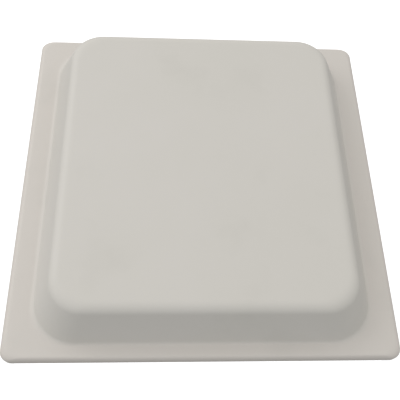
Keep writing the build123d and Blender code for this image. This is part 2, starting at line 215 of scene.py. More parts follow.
# colour, aged colour, sizes and depths in mm of the mottle, grain and wave, roughness, inner glow, ior
mouldedColumns = ("colour", "aged", "mottle", "grain", "grainDepth", "wave", "waveDepth", "roughness",
                  "glow", "ior")
mouldedFinishes = {
    "radome_plastic": ((0.640, 0.612, 0.580), (0.600, 0.580, 0.532),
        80, 0.35, 0.012, 30, 0.05, 0.50, 0, 1.5),
    "nylon": ((0.74, 0.72, 0.64), (0.70, 0.65, 0.52), 9, 0.25, 0.006, 4, 0.02, 0.40, 0.12, 1.46),
    "plug_plastic": ((0.56, 0.028, 0.022), (0.46, 0.020, 0.020),
        5, 0.22, 0.008, 3, 0.02, 0.42, 0.10, 1.46),
    "vent_plastic": ((0.021, 0.021, 0.022), (0.034, 0.033, 0.032),
        6, 0.20, 0.014, 5, 0.02, 0.52, 0, 1.46),
    "seal_rubber": ((0.015, 0.015, 0.016), (0.032, 0.031, 0.029),
        4, 0.12, 0.008, 6, 0.03, 0.74, 0, 1.46),
    "ptfe": ((0.80, 0.80, 0.78), (0.74, 0.73, 0.69), 3, 0.15, 0.004, 2, 0.01, 0.46, 0.08, 1.46),
}
# the flange's warmer tint is painted warm bounce light; the smudges are darker patches laid at random
radomeWearAndBounce = {
    "handled": (0.640, 0.594, 0.553),   # painted warm bounce light: the flange and everything below it tinted warmer
    "handledBelow": 9.5 * mm,
    "smudge": (0.545, 0.525, 0.487),
    "smudgeSize": 46 * mm,
    "smudgeShare": 0.30,
}


def moulded(slot, look, wear=None):
    # finely eroded surface, a little uneven in level and colour as mouldings are
    inner = {"Subsurface_Weight": look.glow, "Subsurface_Scale": 1.5 * mm}
    material, wire, shader = newMaterial(slot, ior=look.ior, **inner)
    point = objectPoint(wire)
    mottle = noise(wire, point, 1 / (look.mottle * mm), 4.0, 0.55)
    grain = noise(wire, point, 1 / (look.grain * mm), 2.0, 0.6)
    wave = noise(wire, point, 1 / (look.wave * mm), 1.0)
    smear = noise(wire, stretched(wire, (14, 40, 20), 0.5), 1.0, 3.0, 0.6)
    tint = mixColours(wire, mottle, look.colour, look.aged)
    if wear:
        # below the flange's top the colour turns warmer, which is painted warm bounce light; random smudges
        # follow
        level = wire.node("ShaderNodeSeparateXYZ", sockets={"Vector": point}, output="Z")
        fade = 2 * mm
        low = wire.maths("MULTIPLY_ADD", level, -1 / fade, wear.handledBelow / fade + 0.5, clamp=True)
        tint = mixColours(wire, low * (mottle * 0.6 + 0.5), tint, wear.handled)
        smudge = noise(wire, point, 1 / wear.smudgeSize, 3.0, 0.6)
        smudge = wire.maths("MULTIPLY_ADD", smudge, 5.0, -2.9, clamp=True) * wear.smudgeShare
        tint = mixColours(wire, smudge, tint, wear.smudge)
    fine = bump(wire, grain, look.grainDepth * mm)
    relief = bump(wire, wave, look.waveDepth * mm, normal=fine)
    rough = look.roughness + (grain - 0.5) * 0.10 + (smear - 0.5) * 0.08
    connect(wire, shader, Base_Color=tint, Roughness=rough, Normal=relief)
    return material


# colour, tarnished colour, scale of the marks by axis, their depth in mm, what they add to the roughness
# and to the tarnish, sizes in mm of the clouds and specks, depth of the specks in mm, roughness
metalColumns = ("colour", "tarnished", "markScale", "markDepth", "markRoughness", "markTint", "cloud",
                "speck", "speckDepth", "roughness")
metalFinishes = {
    # rolling lines run along X on the plate and along Y on the discs
    "aluminium_plate": ((0.62, 0.63, 0.64), (0.50, 0.505, 0.51), (18, 1600, 1600),
        0.035, 0.34, 1.5, 48, 0.5, 0.002, 0.36),
    "aluminium_disc": ((0.66, 0.665, 0.67), (0.54, 0.545, 0.55), (1600, 18, 1600),
        0.030, 0.28, 1.3, 30, 0.6, 0.002, 0.33),
    "stainless": ((0.56, 0.55, 0.53), (0.45, 0.44, 0.42), (900, 900, 3500),
        0.004, 0.10, 0.4, 3, 0.3, 0.004, 0.27),
    "zinc_steel": ((0.60, 0.64, 0.69), (0.60, 0.58, 0.50), (1500, 1500, 2500),
        0.003, 0.12, 0.4, 2, 0.25, 0.005, 0.32),
    "nickel": ((0.62, 0.59, 0.54), (0.52, 0.49, 0.43), (700, 700, 4200),
        0.003, 0.08, 0.4, 6, 0.35, 0.003, 0.22),
    "brass": ((0.72, 0.53, 0.24), (0.50, 0.34, 0.15), (300, 300, 7000),
        0.006, 0.14, 0.4, 3, 0.2, 0.003, 0.28),
    "gold": ((0.88, 0.64, 0.24), (0.74, 0.50, 0.18), (600, 600, 5000),
        0.003, 0.08, 0.4, 2, 0.2, 0.002, 0.20),
    "copper": ((0.76, 0.56, 0.27), (0.60, 0.36, 0.17), (2200, 2200, 2200),
        0.004, 0.12, 0.4, 7, 0.15, 0.004, 0.36),
    "solder": ((0.62, 0.62, 0.63), (0.44, 0.44, 0.44), (1300, 1300, 1300),
        0.010, 0.20, 0.4, 1.2, 0.25, 0.010, 0.30),
}
plateWear = {
    "ringFrom": 5.2 * mm,               # where washers have pressed round the mounting studs
    "ringTo": 7.6 * mm,
    "scratchScale": (30, 900, 900),
    "scratchTurn": 0.6,
}


def bareMetal(slot, look, wear=None):
    # marks along one direction, tarnish in clouds, small pits
    material, wire, shader = newMaterial(slot, metallic=1.0)
    point = objectPoint(wire)
    marks = noise(wire, stretched(wire, look.markScale), 1.0, 3.0, 0.6)
    cloud = noise(wire, point, 1 / (look.cloud * mm), 4.0, 0.6)
    speck = noise(wire, point, 1 / (look.speck * mm), 2.0)
    tarnish = cloud * 2.6 + (marks - 0.5) * look.markTint
    tarnish = wire.maths("SUBTRACT", tarnish, 0.85, clamp=True)
    rough = look.roughness + (marks - 0.5) * look.markRoughness + (cloud - 0.5) * 0.18
    if wear:
        # dull rings where washers were tightened round the studs, and stray scratches
        axes = wire.node("ShaderNodeSeparateXYZ", sockets={"Vector": point})
        acrossX = wire.maths("ABSOLUTE", axes) - mountPitch / 2
        acrossY = wire.maths("ABSOLUTE", axes.output("Y")) - mountPitch / 2
        away = wire.maths("SQRT", acrossX * acrossX + acrossY * acrossY) + (cloud - 0.5) * 1.2 * mm
        ring = (away > wear.ringFrom) * (away < wear.ringTo)
        scratch = noise(wire, stretched(wire, wear.scratchScale, wear.scratchTurn), 1.0, 2.0)
        scratch = wire.maths("MULTIPLY_ADD", scratch, 16.0, -11.4, clamp=True)
        tarnish = wire.maths("ADD", tarnish, ring * 0.5, clamp=True)
        rough = rough + ring * 0.12 + scratch * 0.14
        marks = marks - scratch * 0.8
    tint = mixColours(wire, tarnish, look.colour, look.tarnished)
    relief = bump(wire, marks, look.markDepth * mm)
    fine = bump(wire, speck, look.speckDepth * mm, normal=relief)
    connect(wire, shader, Base_Color=tint, Roughness=rough, Normal=fine)
    return material


foamFinish = {
    "colour": (0.030, 0.030, 0.032),
    "cellColour": (0.075, 0.075, 0.078),
    "cellSize": 0.55 * mm,
    "cellDepth": 0.10 * mm,
    "roughness": 0.93,
}


def cellFoam(slot, look):
    # closed cells, cut open at the skin
    material, wire, shader = newMaterial(slot, ior=1.4)
    point = objectPoint(wire)
    sockets = {"Vector": point, "Scale": 1 / look.cellSize}
    cell = wire.node("ShaderNodeTexVoronoi", {"feature": "F1"}, sockets, output="Distance")
    dust = noise(wire, point, 1 / (6 * mm), 4.0, 0.6)
    tint = mixColours(wire, cell * (0.5 + dust), look.colour, look.cellColour)
    relief = bump(wire, cell, look.cellDepth)
    connect(wire, shader, Base_Color=tint, Roughness=look.roughness + (dust - 0.5) * 0.08, Normal=relief)
    return material


laminateFinish = {
    "colour": (0.036, 0.150, 0.062),
    "threadColour": (0.062, 0.215, 0.098),
    "threadPitch": 0.7 * mm,
    "threadDepth": 0.010 * mm,
    "roughness": 0.38,
}


def glassLaminate(slot, look):
    # woven glass seen through green solder mask
    material, wire, shader = newMaterial(slot, ior=1.55)
    point = objectPoint(wire)
    axes = wire.node("ShaderNodeSeparateXYZ", sockets={"Vector": point})
    turn = 2 * pi / look.threadPitch
    weave = wire.maths("SINE", axes * turn) * wire.maths("SINE", axes.output("Y") * turn) * 0.5 + 0.5
    cloud = noise(wire, point, 1 / (8 * mm), 3.0)
    tint = mixColours(wire, weave * (cloud * 0.9 + 0.3), look.colour, look.threadColour)
    relief = bump(wire, weave, look.threadDepth)
    connect(wire, shader, Base_Color=tint, Roughness=look.roughness + (cloud - 0.5) * 0.15, Normal=relief)
    return material


resistorFinish = {
    "colour": (0.022, 0.022, 0.024),
    "capColour": (0.60, 0.60, 0.60),
    "capLength": 1.1 * mm,
    "roughness": 0.45,
}


def chipResistor(slot, look):
    # dark glaze on top, tinned caps at both ends
    low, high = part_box("termination_resistor")
    material, wire, shader = newMaterial(slot, ior=1.6)
    point = objectPoint(wire)
    across = wire.node("ShaderNodeSeparateXYZ", sockets={"Vector": point})
    fromMiddle = wire.maths("ABSOLUTE", across - (low.x + high.x) / 2)
    grain = noise(wire, point, 1 / (0.2 * mm), 2.0)
    cap = fromMiddle + (grain - 0.5) * 0.1 * mm > (high.x - low.x) / 2 - look.capLength
    tint = mixColours(wire, cap, look.colour, look.capColour)
    relief = bump(wire, grain, 0.006 * mm)
    rough = look.roughness - cap * 0.12 + (grain - 0.5) * 0.1
    connect(wire, shader, Base_Color=tint, Roughness=rough, Metallic=cap, Normal=relief)
    return material


feltFinish = {
    "colour": (0.70, 0.70, 0.68),
    "fibreColour": (0.80, 0.80, 0.79),
    "fibreScale": (1200, 9000, 3000),
    "fibreDepth": 0.02 * mm,
    "roughness": 0.9,
}


def membraneFelt(slot, look):
    # matted fibres, crossing two ways
    material, wire, shader = newMaterial(slot, ior=1.35)
    first = noise(wire, stretched(wire, look.fibreScale, 0.5), 1.0, 2.0)
    second = noise(wire, stretched(wire, look.fibreScale, 2.0), 1.0, 2.0)
    fibres = wire.maths("MAXIMUM", first, second)
    tint = mixColours(wire, fibres, look.colour, look.fibreColour)
    relief = bump(wire, fibres, look.fibreDepth)
    connect(wire, shader, Base_Color=tint, Roughness=look.roughness + (fibres - 0.5) * 0.1, Normal=relief)
    return material


labelFinish = {
    "film": (0.66, 0.67, 0.66),
    "ink": (0.10, 0.11, 0.13),
    "band": (0.25, 0.29, 0.33),
    "margin": 2.5 * mm,
    "ruleWidth": 0.25 * mm,
    "rowHeight": 5.0 * mm,
    "columnAt": 22 * mm,        # from the left margin line
    "bandHeight": 7.0 * mm,
    "roughness": 0.34,
}


def ruledLabel(slot, look):
    # blank fields between ruled lines, under a plain band
    low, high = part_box("rating_label")
    halfX = (high.x - low.x) / 2 - look.margin
    halfY = (high.y - low.y) / 2 - look.margin
    rule = look.ruleWidth / 2
    material, wire, shader = newMaterial(slot, ior=1.5)
    shader.inputs["Coat Weight"].default_value = 0.25
    point = objectPoint(wire)
    middle = (-(low.x + high.x) / 2, -(low.y + high.y) / 2, 0)
    centred = wire.node("ShaderNodeVectorMath", {"operation": "ADD"}, {0: point, 1: middle})
    x = wire.node("ShaderNodeSeparateXYZ", sockets={"Vector": centred})
    y = x.output("Y")
    absX = wire.maths("ABSOLUTE", x)
    absY = wire.maths("ABSOLUTE", y)
    inside = (absX < halfX + rule) * (absY < halfY + rule)
    frame = 1 - (absX < halfX - rule) * (absY < halfY - rule)
    fields = y < halfY - look.bandHeight
    rows = wire.maths("WRAP", y + halfY, look.rowHeight / 2, -look.rowHeight / 2)
    rows = wire.maths("ABSOLUTE", rows)
    column = wire.maths("ABSOLUTE", x + (halfX - look.columnAt)) < rule
    ruled = wire.maths("MAXIMUM", rows < rule, column) * fields
    ink = wire.maths("MAXIMUM", frame, ruled) * inside
    band = (1 - fields) * inside
    speck = noise(wire, point, 1 / (0.12 * mm), 3.0)
    film = mixColours(wire, band, look.film, look.band)
    printed = mixColours(wire, ink * (speck > 0.33), film, look.ink)
    wrinkle = noise(wire, point, 1 / (12 * mm), 2.0)
    relief = bump(wire, wrinkle, 0.06 * mm)
    rough = look.roughness + (speck - 0.5) * 0.1 + ink * 0.08
    connect(wire, shader, Base_Color=printed, Roughness=rough, Normal=relief)
    return material


studLow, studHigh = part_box("mounting_studs")
mountPitch = studHigh.x - studLow.x - 8.8 * mm      # the box reaches over the stud heads
finishes = {
    "seal_foam": cellFoam("seal_foam", named(foamFinish)),
    "board_laminate": glassLaminate("board_laminate", named(laminateFinish)),
    "resistor_body": chipResistor("resistor_body", named(resistorFinish)),
    "membrane": membraneFelt("membrane", named(feltFinish)),
    "label_film": ruledLabel("label_film", named(labelFinish)),
}
for slot, row in mouldedFinishes.items():
    wear = named(radomeWearAndBounce) if slot == "radome_plastic" else None
    finishes[slot] = moulded(slot, named(dict(zip(mouldedColumns, row))), wear)
for slot, row in metalFinishes.items():
    wear = named(plateWear) if slot == "aluminium_plate" else None
    finishes[slot] = bareMetal(slot, named(dict(zip(metalColumns, row))), wear)
slotOf = {part["node"]: part["material_slot"] for part in frame["record"]["subparts"]}
for name, part in nodes.items():
    part.data.materials.clear()
    part.data.materials.append(finishes[slotOf[name]])
print("materials:", len(finishes))


# Geometry Nodes

def growMesh(name, sizes, build, material, points=None, angle=38):
    # runs build(inputs) in a new tree and returns its result as a plain mesh object
    tree = bpy.data.node_groups.new(name, "GeometryNodeTree")
    tree.interface.new_socket("Points", in_out="INPUT", socket_type="NodeSocketGeometry")
    tree.interface.new_socket("Geometry", in_out="OUTPUT", socket_type="NodeSocketGeometry")
    identifiers = {}
    for label, value in sizes.items():
        kind = "NodeSocketInt" if isinstance(value, int) else "NodeSocketFloat"
        socket = tree.interface.new_socket(label, in_out="INPUT", socket_type=kind)
        identifiers[label] = socket.identifier
    entry = tree.nodes.new("NodeGroupInput")
    shape = build(named({label: Wire(tree, entry.outputs[label]) for label in ("Points", *sizes)}))
    shape = shape.node("GeometryNodeRealizeInstances", sockets={"Geometry": shape})
    shape = shape.node("GeometryNodeSetMaterial", sockets={"Geometry": shape, "Material": material})
    tree.links.new(shape.socket, tree.nodes.new("NodeGroupOutput").inputs[0])

    seed = bpy.data.meshes.new(name + "Seed")
    seed.from_pydata(points or [], [], [])
    holder = bpy.data.objects.new(name, seed)
    scene.collection.objects.link(holder)
    modifier = holder.modifiers.new("grow", "NODES")
    modifier.node_group = tree
    for label, value in sizes.items():
        modifier[identifiers[label]] = value
    graph = bpy.context.evaluated_depsgraph_get()
    mesh = bpy.data.meshes.new_from_object(holder.evaluated_get(graph), depsgraph=graph)
    holder.modifiers.clear()
    holder.data = mesh
    mesh.name = name
    if not mesh.materials:
        mesh.materials.append(material)
    turnOutward(mesh)
    shaded(mesh, angle)
    return holder


def turnOutward(mesh):
    shape = bmesh.new()
    shape.from_mesh(mesh)
    bmesh.ops.recalc_face_normals(shape, faces=shape.faces)
    shape.to_mesh(mesh)
    shape.free()


def shaded(mesh, angle):
    mesh.shade_smooth()
    mesh.set_sharp_from_angle(angle=radians(angle))


def gridOf(wire, rows, columns):
    # a flat grid, and the row and column that each of its points lies in
    sockets = {"Vertices X": rows, "Vertices Y": columns, "Size X": 1.0, "Size Y": 1.0}
    grid = wire.node("GeometryNodeMeshGrid", sockets=sockets)
    index = wire.node("GeometryNodeInputIndex")
    row = wire.maths("FLOOR", (index + 0.5) / columns)
    return grid, row, index - row * columns


def placed(wire, grid, place, gap):
    # the grid's points moved to their places, its seams and poles closed
    skin = wire.node("GeometryNodeSetPosition", sockets={"Geometry": grid, "Position": place})
    return wire.node("GeometryNodeMergeByDistance", sockets={"Geometry": skin, "Distance": gap})


def chosen(wire, values, where):
    # the value at a place in a list
    if not any(isinstance(value, Wire) for value in values) and len(set(values)) == 1:
        return values[0]
    sockets = {"Index": where, **{place + 1: value for place, value in enumerate(values)}}
    return wire.node("GeometryNodeIndexSwitch", {"data_type": "FLOAT", "items": len(values)}, sockets)


def joined(parts):
    return parts[0].node("GeometryNodeJoinGeometry", sockets={"Geometry": parts})


# Meshes taken from the frame

def weldedCopy(node):
    # a part's mesh with its loose triangles joined and its flats whole
    shape = bmesh.new()
    shape.from_mesh(nodes[node].data)
    bmesh.ops.remove_doubles(shape, verts=shape.verts, dist=0.002 * mm)
    bmesh.ops.dissolve_limit(shape, angle_limit=radians(0.6), verts=shape.verts, edges=shape.edges)
    return shape


def pieceMiddles(node):
    # middle in plan of each separate piece of a part, and the part's lowest and highest level
    shape = weldedCopy(node)
    waiting = set(shape.verts)
    middles = []
    while waiting:
        group = [waiting.pop()]
        for vert in group:
            near = {edge.other_vert(vert) for edge in vert.link_edges} & waiting
            waiting -= near
            group.extend(near)
        across = [vert.co.x for vert in group]
        along = [vert.co.y for vert in group]
        middles.append(((min(across) + max(across)) / 2, (min(along) + max(along)) / 2))
    shape.free()
    low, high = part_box(node)
    return sorted(middles), low.z, high.z


def stand(piece, node, *others, body="panel"):
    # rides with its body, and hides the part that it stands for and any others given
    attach(piece, body)
    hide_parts(node, *others)
    return piece


easedWidths = {
    "back_plate": 0.25 * mm,
    "driven_disc": 0.20 * mm,
    "parasitic_disc": 0.20 * mm,
    "feed_board": 0.10 * mm,
    "termination_resistor": 0.08 * mm,
    "centre_post_lower": 0.25 * mm,
    "centre_post_upper": 0.25 * mm,
    "centre_washer": 0.12 * mm,
    "jack_seal": 0.10 * mm,
    "jack_dielectric": 0.08 * mm,
    "jack_contact": 0.05 * mm,
    "vent_cap": 0.18 * mm,
    "rating_label": 0.04 * mm,
}


def easedPiece(name, node, shape, width):
    # sharp edges turned to small roundings that catch the light
    mesh = bpy.data.meshes.new(name)
    shape.to_mesh(mesh)
    shape.free()
    mesh.materials.append(finishes[slotOf[node]])
    piece = bpy.data.objects.new(name, mesh)
    scene.collection.objects.link(piece)
    bevel = piece.modifiers.new("ease", "BEVEL")
    bevel.width = width
    bevel.segments = 2
    bevel.limit_method = "ANGLE"
    bevel.angle_limit = radians(28)
    graph = bpy.context.evaluated_depsgraph_get()
    done = bpy.data.meshes.new_from_object(piece.evaluated_get(graph), depsgraph=graph)
    piece.modifiers.clear()
    piece.data = done
    done.name = name
    shaded(done, 50)
    for face in done.polygons:
        # level faces and wide sides stay flat, so that only the roundings shade smoothly
        face.use_smooth = abs(face.normal.z) < 0.9995 and face.area < 8 * mm * mm
    return stand(piece, node)


def grownPart(node, sizes, build, level=0.0, body="panel"):
    # one shape at the middle of each of a part's pieces
    piece = growMesh(camel(node), sizes, build, finishes[slotOf[node]], raised(pieceMiddles(node)[0], level))
    return stand(piece, node, body=body)


def raised(middles, level):
    return [(x, y, level) for x, y in middles]


def camel(node):
    first, *rest = node.split("_")
    return first + "".join(word.title() for word in rest)


for node, width in easedWidths.items():
    easedPiece(camel(node), node, weldedCopy(node), width)
print("eased parts:", len(easedWidths))


# Radome: a section of straight runs and rounded corners, taken round a rounded rectangle

radomeSizes = {
    "side": 260 * mm,
    "corner": 7 * mm,
    "depth": 42 * mm,
    "flange": 9 * mm,
    "flangeRounding": 4.5 * mm,
    "footX": 223.6 * mm,
    "footY": 239.5 * mm,
    "footCorner": 28 * mm,
    "topX": 191 * mm,
    "topY": 213.5 * mm,
    "topCorner": 22 * mm,
    "frontRounding": 8 * mm,
    "rootRounding": 4 * mm,
    "wall": 2.5 * mm,
    "edge": 0.3 * mm,
    "pocketRounding": 2 * mm,
    "ribDrop": 2 * mm,
    "ribWidth": 3.5 * mm,
    "hold": 1.0 * mm,        # how far from a rounding the ring stands that keeps the flat beside it flat
    "roundingSteps": 8,
    "planSteps": 18,
}


def radomeSection(size):
    # corners of the section, each as half width, half depth, plan corner, level and rounding
    rise = size.depth - size.flange
    slopeX = (size.footX - size.topX) / 2 / rise
    slopeY = (size.footY - size.topY) / 2 / rise
    skewX = size.wall * rise.maths("SQRT", slopeX * slopeX + 1)
    skewY = size.wall * rise.maths("SQRT", slopeY * slopeY + 1)
    half = size.side / 2
    inside = half - size.wall
    insideCorner = size.corner - size.wall
    ceiling = size.flange - size.wall
    ribLevel = ceiling - size.ribDrop
    mouth = (size.footX / 2 - skewX, size.footY / 2 - skewY, size.footCorner - skewX)
    rib = [part + size.ribWidth for part in mouth]
    lid = (
        size.topX / 2 + slopeX * size.wall - skewX,
        size.topY / 2 + slopeY * size.wall - skewY,
        size.topCorner - skewX,
        size.depth - size.wall,
        size.frontRounding - size.wall,
    )
    return [
        (0.0, 0.0, 0.0, size.depth, 0.0),
        (size.topX / 2, size.topY / 2, size.topCorner, size.depth, size.frontRounding),
        (size.footX / 2, size.footY / 2, size.footCorner, size.flange, size.rootRounding),
        (half, half, size.corner, size.flange, size.flangeRounding),
        (half, half, size.corner, 0.0, size.edge),
        (inside, inside, insideCorner, 0.0, size.edge),
        (inside, inside, insideCorner, ceiling, size.pocketRounding),
        (*rib, ceiling, size.edge),
        (*rib, ribLevel, size.edge),
        (*mouth, ribLevel, size.edge),
        (*mouth, size.flange, size.edge),
        lid,
        (0.0, 0.0, 0.0, size.depth - size.wall, 0.0),
    ]


def radomeShell(size):
    section = radomeSection(size)
    wire = size.side
    steps = size.roundingSteps
    ringsEach = steps + 3
    columnsEach = size.planSteps + 3
    columns = columnsEach * 4 + 1
    grid, row, column = gridOf(wire, ringsEach * len(section), columns)

    # which corner of the section a ring belongs to, and how far round its rounding it lies
    number = wire.maths("FLOOR", (row + 0.5) / ringsEach)
    step = row - number * ringsEach
    turned = wire.maths("DIVIDE", step - 1, steps, clamp=True)
    before = wire.maths("MAXIMUM", number - 1, 0.0)
    after = wire.maths("MINIMUM", number + 1, len(section) - 1.0)

    def pick(part, where):
        return chosen(wire, [corner[part] for corner in section], where)

    last, this, following = [[pick(part, where) for part in range(4)] for where in (before, number, after)]

    def reach(first, second):
        across = second[0] - first[0]
        up = second[3] - first[3]
        return across, up, wire.maths("SQRT", across * across + up * up)

    acrossIn, upIn, lengthIn = reach(last, this)
    acrossOut, upOut, lengthOut = reach(this, following)
    cosine = (acrossIn * acrossOut + upIn * upOut) / (lengthIn * lengthOut)
    weight = wire.maths("SQRT", (cosine + 1) / 2)
    cut = pick(4, number) * wire.maths("SQRT", (1 - cosine) / (1 + cosine))
    holdIn = (step < 0.5) * size.hold
    holdOut = (step > steps + 1.5) * size.hold
    shareIn = wire.maths("DIVIDE", cut + holdIn, lengthIn, clamp=True)
    shareOut = wire.maths("DIVIDE", cut + holdOut, lengthOut, clamp=True)
    early = (1 - turned) * (1 - turned)
    middle = turned * (1 - turned) * weight * 2
    late = turned * turned
    total = early + middle + late

    def rounded(part):
        first = this[part] + (last[part] - this[part]) * shareIn
        second = this[part] + (following[part] - this[part]) * shareOut
        return (first * early + this[part] * middle + second * late) / total

    halfX, halfY, corner, level = [rounded(part) for part in range(4)]

    # round the plan: a quarter turn at each corner, then two columns near the ends of the straight side
    quadrant = wire.maths("FLOOR", (column + 0.5) / columnsEach)
    place = column - quadrant * columnsEach
    planSteps = size.planSteps
    turn = (quadrant + wire.maths("MINIMUM", place / planSteps, 1.0)) * (pi / 2)
    nearEnd = 0.018
    along = (place > planSteps + 0.5) * nearEnd + (place > planSteps + 1.5) * (1 - 2 * nearEnd)

    def sideOf(operation):
        # minus one or one, and between them along a straight side
        here = wire.maths(operation, (quadrant + 0.5) * (pi / 2)) * 2 ** 0.5
        there = wire.maths(operation, (quadrant + 1.5) * (pi / 2)) * 2 ** 0.5
        return here + (there - here) * along

    x = sideOf("COSINE") * (halfX - corner) + wire.maths("COSINE", turn) * corner
    y = sideOf("SINE") * (halfY - corner) + wire.maths("SINE", turn) * corner
    return placed(wire, grid, combine(x, y, level), 0.01 * mm)


radome = growMesh("radomeShell", radomeSizes, radomeShell, finishes["radome_plastic"], angle=60)
stand(radome, "radome")
print("radome:", len(radome.data.polygons), "faces")


# Bodies made ring by ring, for screws, nuts, studs and bosses

def ringBody(rings, periods, angles, outline=None):
    # rings go from one pole or seam to the other: (circle, share of the outline, level), or (circle, level)
    rings = [ring if len(ring) > 2 else (ring[0], 0.0, ring[1]) for ring in rings]
    wire = next(part for ring in rings for part in ring if isinstance(part, Wire))
    perPeriod = len(angles)
    columns = perPeriod * periods + 1
    grid, row, column = gridOf(wire, len(rings), columns)
    period = wire.maths("FLOOR", (column + 0.5) / perPeriod)

    turn = chosen(wire, angles, column - period * perPeriod) + period * (2 * pi / periods)
    parts = [chosen(wire, values, row) for values in zip(*rings)]
    radius, level = parts[0], parts[2]
    if outline:
        radius = radius + parts[1] * outline(turn)
    if len(parts) > 3:
        level = level + parts[3] * outline(turn)
    place = combine(wire.maths("COSINE", turn) * radius, wire.maths("SINE", turn) * radius, level)
    return placed(wire, grid, place, 0.001 * mm)


def evenTurns(count):
    return [2 * pi * step / count for step in range(count)]


def threadBody(size, hollow=False, columns=36):
    # a helical thread, solid or on a bore: rows follow the helix, four to a pitch
    wire = size.radius
    depth = size.pitch * threadDepth
    lead = 2 if hollow else 1
    rows = size.turns * 4 + (lead + 1)
    grid, row, column = gridOf(wire, rows, columns + 1)
    turn = column * (2 * pi / columns)
    place = row - lead
    lap = wire.maths("FLOOR", (place + 0.5) / 4)
    step = place - lap * 4
    crest = step > 1.5
    share = step * 0.25 + crest * 0.0625 - 0.125
    level = size.low + (lap + share + column / columns - 1) * size.pitch
    level = wire.maths("MINIMUM", wire.maths("MAXIMUM", level, size.low), size.high)
    root = size.radius - depth
    fromEnd = wire.maths("MINIMUM", level - size.low, size.high - level)
    radius = wire.maths("MINIMUM", root + crest * depth, root - 0.05 * mm + fromEnd * 1.1)
    # the first rows and the last one close the ends, at the bore or on the axis
    atHigh = row > rows - 1.5
    ends = wire.maths("MAXIMUM", row < lead - 0.5, atHigh)
    if hollow:
        atHigh = wire.maths("MAXIMUM", row < 0.5, atHigh)
    bore = size.bore if hollow else 0.0
    radius = radius + ends * (bore - radius)
    level = level + ends * (size.low + atHigh * (size.high - size.low) - level)
    place = combine(wire.maths("COSINE", turn) * radius, wire.maths("SINE", turn) * radius, level)
    return placed(wire, grid, place, 0.002 * mm)


def atPoints(size, shape, flipped=False, spun=True):
    # one copy at each point, each turned by chance where its driver left it
    wire = shape
    turn = 0.0
    if spun:
        turn = wire.node("FunctionNodeRandomValue", sockets={2: 0.0, 3: 2 * pi, "Seed": 7}, output=1)
    sockets = {"Points": size.Points, "Instance": shape}
    tilt = pi if flipped else 0.0
    sockets["Rotation"] = combine(tilt, 0.0, turn) if spun else (tilt, 0, 0)
    return wire.node("GeometryNodeInstanceOnPoints", sockets=sockets)


# Screws with a cross recess

coverScrewSizes = {
    "head": 3.0 * mm,
    "rounding": 0.12 * mm,
    "cone": 1.5 * mm,
    "shank": 1.5 * mm,
    "length": 7.0 * mm,
    "recessSpan": 3.4 * mm,
    "recessWidth": 0.85 * mm,
    "recessDepth": 1.3 * mm,
}
jackScrewSizes = {
    "head": 2.75 * mm,
    "height": 2.2 * mm,
    "rounding": 1.0 * mm,
    "shank": 1.5 * mm,
    "length": 4.9 * mm,
    "recessSpan": 3.0 * mm,
    "recessWidth": 0.85 * mm,
    "recessDepth": 1.3 * mm,
}
boardScrewSizes = {
    "head": 2.25 * mm,
    "height": 1.7 * mm,
    "rounding": 0.8 * mm,
    "shank": 1.25 * mm,
    "length": 3.5 * mm,
    "recessSpan": 2.4 * mm,
    "recessWidth": 0.65 * mm,
    "recessDepth": 1.0 * mm,
}
standoffScrewSizes = {
    "head": 3.0 * mm,
    "height": 2.0 * mm,
    "rounding": 1.0 * mm,
    "shank": 1.5 * mm,
    "length": 7.4 * mm,
    "recessSpan": 3.4 * mm,
    "recessWidth": 0.9 * mm,
    "recessDepth": 1.2 * mm,
}


def crossOutline(size):
    # distance from the middle to the edge of a cross, along each direction
    wire = size.recessSpan
    reach = wire / 2
    width = size.recessWidth / 2

    def outline(turn):
        across = wire.maths("MAXIMUM", wire.maths("ABSOLUTE", wire.maths("COSINE", turn)), 0.0001)
        along = wire.maths("MAXIMUM", wire.maths("ABSOLUTE", wire.maths("SINE", turn)), 0.0001)
        first = wire.maths("MINIMUM", reach / across, width / along)
        second = wire.maths("MINIMUM", width / across, reach / along)
        return wire.maths("MAXIMUM", first, second)

    return outline


def crossScrew(size, headRings, flipped):
    # the recess narrows as it goes down, then the head and the shank
    rings = [
        (0.0, -1.25 * size.recessDepth),
        (0.0, 0.35, -size.recessDepth),
        (0.0, 0.80, -0.25 * size.recessDepth),
        (0.0, 1.0, -0.04 * mm),
        (0.05 * mm, 1.0, 0.0),
    ]
    under = headRings[-1][-1]
    end = under - size.length
    rings += headRings
    rings += [
        (size.shank, under),
        (size.shank, end + 0.4 * mm),
        (size.shank - 0.4 * mm, end),
        (0.0, end),
    ]
    tip = size.head.maths("ARCTAN2", size.recessWidth, size.recessSpan)
    quarter = [0.0, tip / 2, tip, (tip * 2 + pi / 4) / 3, (tip + pi / 2) / 3, pi / 4]
    quarter += [pi / 2 - turn for turn in reversed(quarter[1:5])]
    return atPoints(size, ringBody(rings, 4, quarter, crossOutline(size)), flipped)


def panScrew(size, flipped=False):
    head, height, rounding = size.head, size.height, size.rounding
    rings = [(head - rounding, 0.0, 0.0)]
    for turn in (radians(30), radians(60), radians(90)):
        rings.append((head - rounding * (1 - sin(turn)), 0.0, rounding * (cos(turn) - 1)))
    rings += [(head, 0.0, 0.06 * mm - height), (head - 0.06 * mm, 0.0, -height)]
    return crossScrew(size, rings, flipped)


def sunkScrew(size):
    head, rounding = size.head, size.rounding
    rings = [
        (head - rounding, 0.0),
        (head, -rounding),
        (size.shank, -size.cone),
    ]
    return crossScrew(size, rings, True)


def jackScrew(size):
    return panScrew(size, flipped=True)


screwParts = {
    # the level that the head's top stands at is the part's lowest, 0, or its highest, 1
    "cover_screws": (coverScrewSizes, sunkScrew, 0),
    "jack_screws": (jackScrewSizes, jackScrew, 0),
    "board_screws": (boardScrewSizes, panScrew, 1),
    "standoff_screws": (standoffScrewSizes, panScrew, 1),
}
for node, (sizes, build, end) in screwParts.items():
    grownPart(node, sizes, build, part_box(node)[end].z)
coverPoints = raised(pieceMiddles("cover_screws")[0], 0.0)
print("screws:", len(screwParts), "kinds")


# Hexagonal nuts and standoffs

